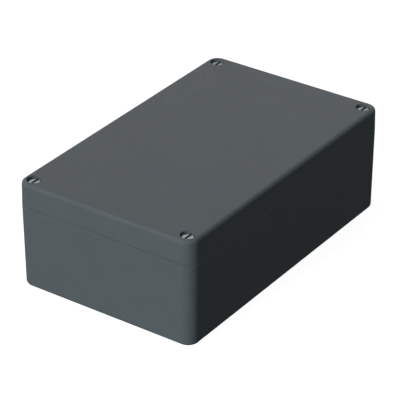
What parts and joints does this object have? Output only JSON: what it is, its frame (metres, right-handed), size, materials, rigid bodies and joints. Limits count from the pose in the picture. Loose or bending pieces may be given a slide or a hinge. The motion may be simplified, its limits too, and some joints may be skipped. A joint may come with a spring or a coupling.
{
  "type": "fibreglass enclosure",
  "caption": "Deep rectangular wall-mounting enclosure moulded in glass-fibre polyester, with a gasketed lift-off lid held by captive slotted screws.",
  "frame": {"origin": "middle of the flat underside, which is the face that goes against the wall", "axes": "+X across the width, +Y along the length, +Z out of the wall, through the lid; the picture's front left end face is at -Y and its dark long side at +X"},
  "size_m": [0.16, 0.26, 0.09],
  "materials": {
    "polyester": "moulded, fine semi-matt, dark blue-grey",
    "gasket_rubber": "smooth, matt black",
    "stainless_steel": "turned, satin",
    "nylon": "natural, matt",
    "brass": "turned, bright"
  },
  "bodies": {
    "base": {"base": "polyester", "lid_screw_insert_1": "brass", "lid_screw_insert_2": "brass", "lid_screw_insert_3": "brass", "lid_screw_insert_4": "brass", "plate_insert_1": "brass", "plate_insert_2": "brass", "plate_insert_3": "brass", "plate_insert_4": "brass", "plate_insert_5": "brass", "plate_insert_6": "brass"},
    "lid": {"lid": "polyester", "gasket": "gasket_rubber"},
    "retainer_1": {"screw_retainer_1": "nylon"},
    "screw_1": {"lid_screw_1": "stainless_steel"},
    "retainer_2": {"screw_retainer_2": "nylon"},
    "screw_2": {"lid_screw_2": "stainless_steel"},
    "retainer_3": {"screw_retainer_3": "nylon"},
    "screw_3": {"lid_screw_3": "stainless_steel"},
    "retainer_4": {"screw_retainer_4": "nylon"},
    "screw_4": {"lid_screw_4": "stainless_steel"}
  },
  "joints": [
    {"name": "lid_lift", "type": "slide", "parent": "base", "child": "lid", "axis": [0, 0, 1], "range_m": [0, 0.1]},
    {"name": "screw_1_rise", "type": "slide", "parent": "lid", "child": "retainer_1", "axis": [0, 0, 1], "range_m": [0, 0.01]},
    {"name": "screw_1_turn", "type": "hinge", "parent": "retainer_1", "child": "screw_1", "pos_m": [-0.07, -0.12, 0.0686], "axis": [0, 0, 1], "range_deg": [0, 3600]},
    {"name": "screw_2_rise", "type": "slide", "parent": "lid", "child": "retainer_2", "axis": [0, 0, 1], "range_m": [0, 0.01]},
    {"name": "screw_2_turn", "type": "hinge", "parent": "retainer_2", "child": "screw_2", "pos_m": [0.07, -0.12, 0.0686], "axis": [0, 0, 1], "range_deg": [0, 3600]},
    {"name": "screw_3_rise", "type": "slide", "parent": "lid", "child": "retainer_3", "axis": [0, 0, 1], "range_m": [0, 0.01]},
    {"name": "screw_3_turn", "type": "hinge", "parent": "retainer_3", "child": "screw_3", "pos_m": [0.07, 0.12, 0.0686], "axis": [0, 0, 1], "range_deg": [0, 3600]},
    {"name": "screw_4_rise", "type": "slide", "parent": "lid", "child": "retainer_4", "axis": [0, 0, 1], "range_m": [0, 0.01]},
    {"name": "screw_4_turn", "type": "hinge", "parent": "retainer_4", "child": "screw_4", "pos_m": [-0.07, 0.12, 0.0686], "axis": [0, 0, 1], "range_deg": [0, 3600]}
  ],
  "couplings": [
    {"joint": "screw_1_turn", "follows": "screw_1_rise", "rad_per_m": 6283.2},
    {"joint": "screw_2_turn", "follows": "screw_2_rise", "rad_per_m": 6283.2},
    {"joint": "screw_3_turn", "follows": "screw_3_rise", "rad_per_m": 6283.2},
    {"joint": "screw_4_turn", "follows": "screw_4_rise", "rad_per_m": 6283.2}
  ]
}
